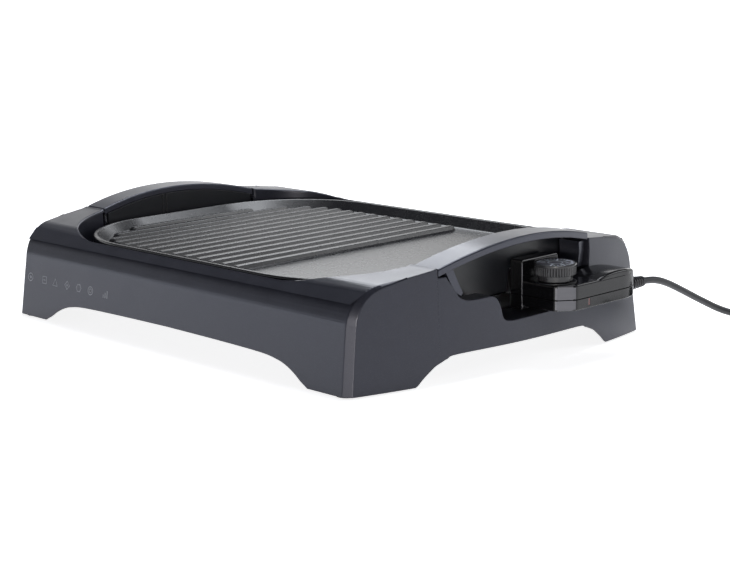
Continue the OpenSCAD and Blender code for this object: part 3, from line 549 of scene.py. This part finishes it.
def band(outline, width, at):
    ring = [tuple(p) for p in outline]
    count = len(ring)
    cx, cy = sum(p[0] for p in ring) / count, sum(p[1] for p in ring) / count
    reach = max(math.hypot(p[0] - cx, p[1] - cy) for p in ring)
    share = 1 - width / reach
    inner = [(cx + (x - cx) * share, cy + (y - cy) * share) for x, y in ring]
    outside = [frontPoint(x, y, at) for x, y in ring]
    inside = [frontPoint(x, y, at) for x, y in inner]
    sunk = [[(x, y + 0.05, z) for x, y, z in ring] for ring in (outside, inside)]
    lift = [sunk[0], outside, inside, sunk[1]]
    return loft("frontSigns", lift, looped=True)


def patch(outline, at):
    face = [frontPoint(x, y, at) for x, y in outline]
    return loft("frontSigns", [[(p[0], p[1] + 0.05, p[2]) for p in face], face])


triangle = [(-4.2, -3.4), (4.2, -3.4), (0, 4)]
square = [(-3.6, -3.6), (3.6, -3.6), (3.6, 3.6), (-3.6, 3.6)]
diamond = [(0, -4.4), (4.4, 0), (0, 4.4), (-4.4, 0)]
hexagon = disc(0, 0, 4.2, 6)
signs = [band(disc(0, 0, 4.2, 32), 0.8, -218), patch(disc(0, 0, 1.5, 20), -218),
         band(square, 0.9, -194), patch([(-1.6, -0.4), (1.6, -0.4), (1.6, 0.4), (-1.6, 0.4)], -194),
         band(triangle, 0.9, -176), band(diamond, 0.9, -156), patch(disc(0, 0, 1.1, 16), -156),
         band(hexagon, 0.8, -137), band(disc(0, 0, 4.2, 32), 0.8, -118), band(disc(0, 0, 2.1, 24), 0.7, -118)]
signs += [patch([(-4 + 3 * k, -3.6), (-2.8 + 3 * k, -3.6),
                 (-2.8 + 3 * k, -0.6 + 2 * k), (-4 + 3 * k, -0.6 + 2 * k)], -94) for k in range(3)]
joinInto(signs[0], signs[1:])
finishPiece(signs[0], motifGray, "base", [], weighted=False)

# Cooking plate
plate = {"length": 428, "depth": 327.6, "corner": 110, "floor": 77, "ribs": 14, "firstRib": -193.9, "pitch": 18.12}


def rimRing(inset, w):
    return [(u, v, w) for u, v in roundedBox(plate["length"] / 2 - inset, plate["depth"] / 2 - inset,
                                             plate["corner"] - inset, 18)]


rimWalk = [(3, 73), (3, 67.4), (2.8, 66.5), (2.1, 66.05), (0.8, 66.05), (0.15, 66.6), (0, 67.4), (0, 84.8)]
rimWalk += [(1.9 - 1.9 * math.cos(math.radians(a)), 84.7 + 1.9 * math.sin(math.radians(a)))
            for a in (15, 30, 45, 60, 75, 90)]
rimWalk += [(3.0, 86.6), (3.6, 86.5), (4.15, 86.25), (4.75, 85.75), (12.1, 78.75), (12.9, 78.05), (13.8, 77.5),
            (14.8, 77.15), (16, 77.02), (17.4, 77)]
castPlate = loft("castPlate", [rimRing(inset, w) for inset, w in rimWalk])
drainV = plate["depth"] / 2 - 18
slotShape = arc(6, -drainV, 3, -90, 90, 12) + arc(-6, -drainV, 3, 90, 270, 12)
carve(castPlate, prism("drain", slotShape, 70, 80))
finishPiece(castPlate, nonstick, "grill_plate", ["cooking_plate"], angle=40)

ribShape = [(0, 4.6), (2.0, 4.57), (2.7, 4.38), (3.1, 3.95), (3.3, 3.3), (3.95, 1.35), (4.2, 0.75), (4.75, 0.3),
            (5.5, 0.05), (6.2, -0.05), (6.2, -0.6)]
ribShape = ribShape + [(-d, h) for d, h in ribShape[::-1]][:-1]
ribBack = [83.6, 50.6, 32.6, 24.6, 22.1]
ribs = []
for i in range(plate["ribs"]):
    half = (plate["depth"] - 2 * ribBack[min(i, 4)]) / 2
    at = plate["firstRib"] + i * plate["pitch"]
    tips = [(0, 0.0, 0.45), (0.35, 0.3, 0.68), (1.0, 0.58, 0.84), (2.0, 0.8, 0.94), (3.4, 0.94, 0.99), (5.2, 1, 1)]
    stops = [(-half + d, high, wide) for d, high, wide in tips]
    stops += [(half - d, high, wide) for d, high, wide in tips[::-1]]
    ribs.append(loft("plateRibs", [[(at + d * wide, v, plate["floor"] + (h * high if h > 0 else h))
                                    for d, h in ribShape] for v, high, wide in stops]))
joinInto(ribs[0], ribs[1:])
finishPiece(ribs[0], nonstick, "grill_plate", [], angle=50)
print("plate done")


# Handles
def domeW(v, drop=0, side=-1):
    if side == 1:
        return domeW(v - handle["rightBack"], drop) + handle["rightUp"]
    return domeCentre + math.sqrt((domeRadius - drop) ** 2 - v * v)


def bandU(v, back):
    return endCentre + math.sqrt((endRadius - endTop - back) ** 2 - v * v)


def roundSection(x0, x1, y0, y1, rLow, rHigh, steps=4):
    return (arc(x1 - rLow, y0 + rLow, rLow, -90, 0, steps) + arc(x1 - rHigh, y1 - rHigh, rHigh, 0, 90, steps)
            + arc(x0 + rHigh, y1 - rHigh, rHigh, 90, 180, steps) + arc(x0 + rLow, y0 + rLow, rLow, 180, 270, steps))


def spread(low, high, steps):
    return [low + (high - low) * i / steps for i in range(steps + 1)]


def stripSection(v, squeeze, side):
    return [(side * u, v, w) for u, w in roundSection(bandU(v, 29.6) + squeeze, bandU(v, 0.6) - squeeze,
                                                      domeW(v, handle["thick"], side) + squeeze,
                                                      domeW(v, 0, side) - squeeze, 0.8, 1.7)]


frontTongue = [(-84, 96), (-75.2, 79), (-71, 74.5), (-66, 71), (-63.5, 74), (-67, 80), (-75, 96)]
backTongue = [(90, 96), (81.2, 79), (77, 74.5), (72, 71), (69.5, 74), (73, 80), (81, 96)]
deepTongue = [(90, 96), (91, 86), (88, 73), (94.5, 73), (98, 86), (98.5, 96)]
for side, name in ((1, "Right"), (-1, "Left")):
    front, back = handle["front"], handle["back"]
    stops = [(front, 0.8), (front + 0.3, 0.25), (front + 0.9, 0)] + [(v, 0) for v in spread(front + 2, back - 2, 60)]
    stops += [(back - 0.9, 0), (back - 0.3, 0.25), (back, 0.8)]
    grip = loft("handleGrip" + name, [stripSection(v, squeeze, side) for v, squeeze in stops])
    for shape in (frontTongue, deepTongue if side == 1 else backTongue):
        tongue = loft("tongue", [[(side * bandU(v, back), v, min(w, domeW(v, handle["thick"] / 2, side)))
                                  for v, w in shape] for back in (27, 4)])
        roundEdges(tongue, 0.8, 2, 25)
        joinInto(grip, [tongue])
    finishPiece(grip, handlePaint, "grill_plate", ["handle_grip_" + name.lower()], angle=32)

    walls = []
    for v in spread(-90, 96, 62):
        low = 80 if side == 1 and 15 < v < 68 else 60
        walls.append([(side * u, v, w) for u, w in roundSection(
            bandU(v, 31), bandU(v, 28), low, domeW(v, handle["thick"], side) - 0.02, 0.4, 0.4, 2)])
    inner = loft("handleWall" + name, walls)
    for v in (-17.2, -12.4):
        ribTop = domeW(v, handle["thick"], side) - 0.1
        joinInto(inner, [prism("wallRib", disc(side * bandU(v, 31), v, 0.7, 12), 62, ribTop)])
    finishPiece(inner, satinBlack, "grill_plate", ["handle_wall_" + name.lower()], angle=32)
print("handles done")


# Thermostat
def roundCorners(points, radius, steps=5):
    out = []
    for i, p in enumerate(points):
        before, after = points[i - 1], points[(i + 1) % len(points)]
        ends = []
        for q in (before, after):
            run = math.hypot(q[0] - p[0], q[1] - p[1])
            reach = min(radius[i] if isinstance(radius, list) else radius, run * 0.45)
            ends.append((p[0] + (q[0] - p[0]) / run * reach, p[1] + (q[1] - p[1]) / run * reach))
        for k in range(steps + 1):
            t = k / steps
            out.append(tuple((1 - t) ** 2 * ends[0][j] + 2 * t * (1 - t) * p[j] + t * t * ends[1][j]
                             for j in (0, 1)))
    return out


def shrink(points, inset):
    out = []
    for i, p in enumerate(points):
        a, b = points[i - 1], points[(i + 1) % len(points)]
        run = math.hypot(b[0] - a[0], b[1] - a[1])
        out.append((p[0] - (b[1] - a[1]) / run * inset, p[1] + (b[0] - a[0]) / run * inset))
    return out


bodyPlan = roundCorners([(238, 18), (277, 17.4), (288.5, 33), (288.5, 104), (286, 115), (280.5, 122), (264, 124),
                         (258, 119), (254, 104), (255, 66), (238, 65)], [1, 2.5, 3, 8, 5, 5, 5, 5, 8, 4, 1])


def stack(name, plan, levels):
    return loft(name, [[(u, v, w) for u, v in shrink(plan, inset)] for inset, w in levels])


lowerShell = stack("controllerLower", bodyPlan, [(1.8, 48.6), (0.9, 48.75), (0.3, 49.2), (0, 50), (0, 57.6),
                                                 (0.15, 57.95), (0.5, 58.1), (1.6, 58.1), (1.6, 59)])
blockPlan = roundCorners([(226, 17.4), (240.4, 17.4), (240.4, 66), (226, 66)], 2)
blockLow = stack("blockLow", blockPlan, [(1.4, 45), (0.5, 45.3), (0, 46.2), (0, 57.9), (0.3, 58.2), (1.2, 58.2),
                                         (1.2, 59)])
lampHole = box("lampHole", (285, 48.7, 51.3), (290, 51.3, 57.3))
carve(lowerShell, lampHole)
socket = box("socket", (225, 20, 56), (237.5, 63.4, 60))
carve(blockLow, socket)
joinInto(lowerShell, [blockLow])
finishPiece(lowerShell, glossBlack, "controller", ["controller_lower_shell"], angle=35)

dial = {"centre": (263.7, 33.9), "flutes": 45, "fluteDepth": 0.8, "firstTurn": 215, "sweep": 280, "marks": 25,
        "digits": 7, "digitSize": 5.2, "digitRadius": 10.2}
dialU, dialV = dial["centre"]
upperShell = stack("controllerUpper", bodyPlan, [(1.6, 58), (0.5, 58.5), (0.15, 58.65), (0, 59), (0, 69), (0.25, 70.1),
                                                 (0.9, 70.95), (1.9, 71.3)])
carve(upperShell, prism("spindleHole", disc(*dial["centre"], 3.3, 32), 60, 80))
blockHigh = stack("blockHigh", blockPlan, [(1.2, 58), (0.3, 58.5), (0, 58.8), (0, 86.6), (0.3, 87.8), (1.0, 88.7),
                                           (2.1, 89)])
carve(blockHigh, box("socket", (225, 20, 57), (237.5, 63.4, 80)))
joinInto(upperShell, [blockHigh])


def planEdge(v, side):
    edge = [(255, 60), (255, 66), (254, 104), (258, 119), (264, 124)] if side == 0 else \
           [(288.5, 60), (288.5, 104), (286, 115), (280.5, 122), (276, 124)]
    for (u0, v0), (u1, v1) in zip(edge, edge[1:]):
        if v0 <= v <= v1:
            return u0 + (u1 - u0) * (v - v0) / (v1 - v0)
    return edge[-1][0]


crownStops = [(v, 0) for v in spread(62, 117, 22)]
crownStops += [(119, 0.1), (120.8, 0.4), (122.2, 0.9), (123.2, 1.7), (123.7, 2.6)]
crown = loft("gripCrown", [[(u, v, w) for u, w in roundSection(
    planEdge(v, 0) + 0.3 + drop * 0.3, planEdge(v, 1) - 0.3 - drop * 0.3, 66.5,
    -34.5 + math.sqrt(110 ** 2 - (v - 92) ** 2) - drop, 0.6, 2.4, 5)] for v, drop in crownStops])
joinInto(upperShell, [crown])
finishPiece(upperShell, glossBlack, "controller", ["controller_upper_shell"], angle=35)

# The cut corner beside the dial faces the camera-side light and gets a lighter brushed metal: a painted highlight
for shellPart in (upperShell, lowerShell):
    shellPart.data.materials.append(paintedHighlightMetal)
    for face in shellPart.data.polygons:
        if face.normal.x > 0.6 and face.normal.y < -0.4 and face.area > 2e-6:
            face.material_index = 1


def lathe(name, walk, steps, at, axis="w", flutes=0, fluteDepth=0.0, fluted=lambda r, h: False):
    rings = []
    for r, h in walk:
        ring = []
        for k in range(steps):
            turn = 2 * math.pi * k / steps
            dip = fluteDepth * max(0, math.cos(flutes * turn)) ** 3 if flutes and fluted(r, h) else 0
            a, b = (r - dip) * math.cos(turn), (r - dip) * math.sin(turn)
            ring.append({"w": (at[0] + a, at[1] + b, at[2] + h), "v": (at[0] + a, at[1] + h, at[2] + b),
                         "u": (at[0] + h, at[1] + a, at[2] + b)}[axis])
        rings.append(ring)
    return loft(name, rings)


dialAt = (dialU, dialV, 0)
knobWalk = [(3.1, 72.6), (14.3, 72.6), (15, 73.1), (15, 77.8), (15.4, 78), (17.5, 78.02), (18, 78.5), (18.05, 79),
            (18.05, 85.2), (18.1, 85.6), (18.4, 86), (18.5, 86.4), (18.5, 87.2), (18.35, 87.7), (17.95, 88), (17.4, 88),
            (17.1, 87.85), (17.05, 87.4), (16, 87.35)]
knob = lathe("dialKnob", knobWalk, 360, dialAt, flutes=dial["flutes"], fluteDepth=dial["fluteDepth"],
             fluted=lambda r, h: r > 17.9 and 78.4 < h < 85.5)
finishPiece(knob, knobBlack, "dial", ["dial_knob"], angle=30, weighted=False)
inlay = lathe("dialFace", [(16, 87.3), (16.95, 87.42), (17, 87.8), (16.8, 87.9), (12, 87.9), (2, 87.9)], 96, dialAt)
finishPiece(inlay, printedFace, "dial", ["dial_inlay"], weighted=False)
marks = []
for k in range(dial["marks"]):
    turn = math.radians(dial["firstTurn"] - dial["sweep"] * k / (dial["marks"] - 1))
    long, wide = (3.2, 0.55) if k % 4 == 0 else (2.2, 0.36)
    ca, sa = math.cos(turn), math.sin(turn)
    outline = [(15.9, -wide), (15.9, wide), (15.9 - long, wide), (15.9 - long, -wide)]
    marks.append(prism("dialMarks", [(dialU + r * ca - t * sa, dialV + r * sa + t * ca) for r, t in outline],
                       87.88, 87.96))
circle = [2 * math.pi * k / 64 for k in range(64)]
ringWalk = ((6.6, 87.88), (6.6, 87.96), (6.1, 87.96), (6.1, 87.88))
marks.append(loft("dialMarks", [[(dialU + r * math.cos(a), dialV + r * math.sin(a), w) for a in circle]
                                for r, w in ringWalk], looped=True))
for k in range(dial["digits"]):
    turn = math.radians(dial["firstTurn"] - dial["sweep"] * k / (dial["digits"] - 1))
    digit = bpy.data.curves.new("digit", "FONT")
    digit.body = str(k)
    digit.size = dial["digitSize"]
    digit.align_x = "CENTER"
    digit.align_y = "CENTER"
    digit.extrude = 0.04
    digitPiece = bpy.data.objects.new("digit", digit)
    scene.collection.objects.link(digitPiece)
    flat = bpy.data.meshes.new_from_object(digitPiece)
    bpy.data.objects.remove(digitPiece)
    facing = turn - math.pi / 2
    for vertex in flat.vertices:
        x, y, z = vertex.co
        out = dial["digitRadius"]
        vertex.co = (dialU + out * math.cos(turn) + x * math.cos(facing) - y * math.sin(facing),
                     dialV + out * math.sin(turn) + x * math.sin(facing) + y * math.cos(facing), 87.92 + z)
    marks.append(bpy.data.objects.new("dialMarks", flat))
    scene.collection.objects.link(marks[-1])
joinInto(marks[0], marks[1:])
finishPiece(marks[0], printWhite, "dial", [], weighted=False)
bezel = lathe("dialBezel", [(9, 71.32), (18.2, 71.32), (18.5, 71.6), (18.4, 72.1), (17.9, 72.3), (9, 72.3)], 96, dialAt)
finishPiece(bezel, satinBlack, "controller", ["dial_bezel"])

reliefWalk = [(2.5, 0), (5.0, 0), (5.2, 0.3), (5.2, 9.6), (4.9, 10)]
for i in range(5):
    r, y = (6.5 + 5.4 - 0.5 * i) / 2, 10.4 + i * 3.5
    reliefWalk += [(4.3, y), (r - 0.35, y + 0.05), (r, y + 0.4), (r, y + 1.8), (r - 0.35, y + 2.15), (4.3, y + 2.2)]
reliefWalk += [(4.25, 26.8), (4.25, 28.6), (3.9, 29), (2.5, 29)]
relief = lathe("strainRelief", reliefWalk, 40, (272, 117, 58.5), axis="v")
finishPiece(relief, cordRubber, "controller", ["strain_relief"], leaned=False)
print("thermostat done")

# CAD pieces that stay as they are
kept = {"reflector_pan": bareSheet, "reflector_screws": brightSteel, "rubber_feet": footRubber, "drip_tray": trayEnamel,
        "heating_element": elementSkin, "terminal_pins": brightSteel, "pin_collars": ceramicWhite,
        "terminal_guard": bareSheet, "probe_sleeve": brightSteel, "handle_brackets": bracketBlack,
        "handle_screws": brightSteel, "contact_block": insulatorBrown, "contact_sockets": contactBrass,
        "temperature_probe": brightSteel, "thermostat_frame": brightSteel, "thermostat_blades": contactBrass,
        "pilot_lamp": lampLens, "shell_screws": brightSteel, "dial_spindle": brightSteel}
for name, finish in kept.items():
    paint(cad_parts[name], finish)

# Floor, room and light
floorPlan = {"size": 60, "color": (0.86, 0.865, 0.875)}
floorMesh = bpy.data.meshes.new("whiteFloor")
reach = floorPlan["size"] / 2
floorMesh.from_pydata([(-reach, -reach, 0), (reach, -reach, 0), (reach, reach, 0), (-reach, reach, 0)], [],
                      [(0, 1, 2, 3)])
whiteFloor = bpy.data.objects.new("whiteFloor", floorMesh)
scene.collection.objects.link(whiteFloor)
paper = bpy.data.materials.new("whitePaper")
paper.use_nodes = True
paperTree = paper.node_tree
paperShader = paperTree.nodes["Principled BSDF"]
paperShader.inputs["Base Color"].default_value = (*floorPlan["color"], 1)
paperShader.inputs["Roughness"].default_value = 0.9
paperShader.inputs["Specular IOR Level"].default_value = 0.1
paperShader.inputs["Emission Color"].default_value = (1, 1, 1, 1)
paperShader.inputs["Emission Strength"].default_value = 0.06
paperGlow = paperTree.nodes.new("ShaderNodeEmission")
paperSpot = paperTree.nodes.new("ShaderNodeTexCoord")
paperReach = paperTree.nodes.new("ShaderNodeVectorMath")
paperReach.operation = "LENGTH"
paperTree.links.new(paperSpot.outputs["Object"], paperReach.inputs[0])
paperFade = paperTree.nodes.new("ShaderNodeMapRange")
paperFade.inputs["From Min"].default_value = 0.3
paperFade.inputs["From Max"].default_value = 1.6
paperFade.inputs["To Min"].default_value = 0.78
paperFade.inputs["To Max"].default_value = 1
paperTree.links.new(paperReach.outputs["Value"], paperFade.inputs["Value"])
paperTree.links.new(paperFade.outputs["Result"], paperGlow.inputs["Strength"])
paperPath = paperTree.nodes.new("ShaderNodeLightPath")
paperMirror = paperTree.nodes.new("ShaderNodeMath")
paperMirror.operation = "MAXIMUM"
paperShown = paperTree.nodes.new("ShaderNodeMath")
paperShown.operation = "MAXIMUM"
paperTree.links.new(paperPath.outputs["Is Glossy Ray"], paperMirror.inputs[0])
paperTree.links.new(paperPath.outputs["Is Transmission Ray"], paperMirror.inputs[1])
paperTree.links.new(paperPath.outputs["Is Camera Ray"], paperShown.inputs[0])
paperTree.links.new(paperMirror.outputs["Value"], paperShown.inputs[1])
paperSum = paperTree.nodes.new("ShaderNodeAddShader")
paperPick = paperTree.nodes.new("ShaderNodeMixShader")
paperTree.links.new(paperShader.outputs["BSDF"], paperSum.inputs[0])
paperTree.links.new(paperGlow.outputs["Emission"], paperSum.inputs[1])
paperTree.links.new(paperShown.outputs["Value"], paperPick.inputs["Fac"])
paperTree.links.new(paperShader.outputs["BSDF"], paperPick.inputs[1])
paperTree.links.new(paperSum.outputs["Shader"], paperPick.inputs[2])
paperTree.links.new(paperPick.outputs["Shader"], paperTree.nodes["Material Output"].inputs["Surface"])
floorMesh.materials.append(paper)

room = bpy.data.worlds.new("room")
scene.world = room
room.use_nodes = True
roomTree = room.node_tree
sky = roomTree.nodes["Background"]
seen = roomTree.nodes.new("ShaderNodeBackground")
seen.inputs["Color"].default_value = (1, 1, 1, 1)
path = roomTree.nodes.new("ShaderNodeLightPath")
choose = roomTree.nodes.new("ShaderNodeMixShader")
roomTree.links.new(sky.outputs["Background"], choose.inputs[1])
roomTree.links.new(seen.outputs["Background"], choose.inputs[2])
roomTree.links.new(choose.outputs["Shader"], roomTree.nodes["World Output"].inputs["Surface"])

# The room is dark above a low pale backdrop, which is brightest behind the grill's left end
heading = roomTree.nodes.new("ShaderNodeTexCoord")
parts = roomTree.nodes.new("ShaderNodeSeparateXYZ")
roomTree.links.new(heading.outputs["Generated"], parts.inputs["Vector"])


def ramp(source, low, high, atLow, atHigh):
    node = roomTree.nodes.new("ShaderNodeMapRange")
    node.interpolation_type = "SMOOTHSTEP"
    node.inputs["From Min"].default_value = low
    node.inputs["From Max"].default_value = high
    node.inputs["To Min"].default_value = atLow
    node.inputs["To Max"].default_value = atHigh
    roomTree.links.new(source, node.inputs["Value"])
    return node.outputs["Result"]


def maths(operation, first, second):
    node = roomTree.nodes.new("ShaderNodeMath")
    node.operation = operation
    for k, value in enumerate((first, second)):
        if isinstance(value, (int, float)):
            node.inputs[k].default_value = value
        else:
            roomTree.links.new(value, node.inputs[k])
    return node.outputs["Value"]


backLeft = maths("SUBTRACT", parts.outputs["Y"], parts.outputs["X"])
lowGlow = maths("MULTIPLY", ramp(parts.outputs["Z"], 0.30, 0.44, 1.0, 0.04), ramp(backLeft, 0.1, 1.1, 0.25, 1.0))
mirrored = maths("MAXIMUM", path.outputs["Is Glossy Ray"], path.outputs["Is Transmission Ray"])
shown = maths("MAXIMUM", path.outputs["Is Camera Ray"], maths("MULTIPLY", mirrored, lowGlow))
roomTree.links.new(shown, choose.inputs["Fac"])
shadeOfRoom = roomTree.nodes.new("ShaderNodeMix")
shadeOfRoom.data_type = "RGBA"
shadeOfRoom.inputs[6].default_value = (0.045, 0.046, 0.055, 1)
shadeOfRoom.inputs[7].default_value = (0.86, 0.90, 1.0, 1)
roomTree.links.new(lowGlow, shadeOfRoom.inputs[0])
roomTree.links.new(shadeOfRoom.outputs[2], sky.inputs["Color"])


def softbox(name, place, aim, wide, high, power, tint=(1, 1, 1)):
    light = bpy.data.lights.new(name, "AREA")
    light.shape = "RECTANGLE"
    light.size = wide
    light.size_y = high
    light.energy = power
    light.color = tint
    lampPiece = bpy.data.objects.new(name, light)
    lampPiece.location = place
    lampPiece.rotation_euler = (Vector(aim) - Vector(place)).to_track_quat("-Z", "Y").to_euler()
    scene.collection.objects.link(lampPiece)


softbox("topLight", (-0.25, 0.55, 1.9), (0, 0, 0.05), 1.4, 1.0, 26, (0.92, 0.95, 1))
softbox("rightLight", (1.2, 1.5, 0.9), (0.2, 0.05, 0.05), 0.7, 0.5, 4, (0.97, 0.98, 1))
softbox("crownLight", (-0.48, 0.43, 0.58), (0.22, -0.1, 0.1), 0.3, 0.38, 1.25, (0.93, 0.96, 1))
softbox("frontLight", (-1.5, -1.7, 0.06), (-0.05, -0.15, 0.04), 1.3, 0.1, 1.6, (0.84, 0.9, 1))
softbox("cameraLight", (1.75, -1.75, 0.22), (0.2, -0.15, 0.05), 0.5, 0.16, 16, (1, 0.94, 0.88))

print("room and lights done")
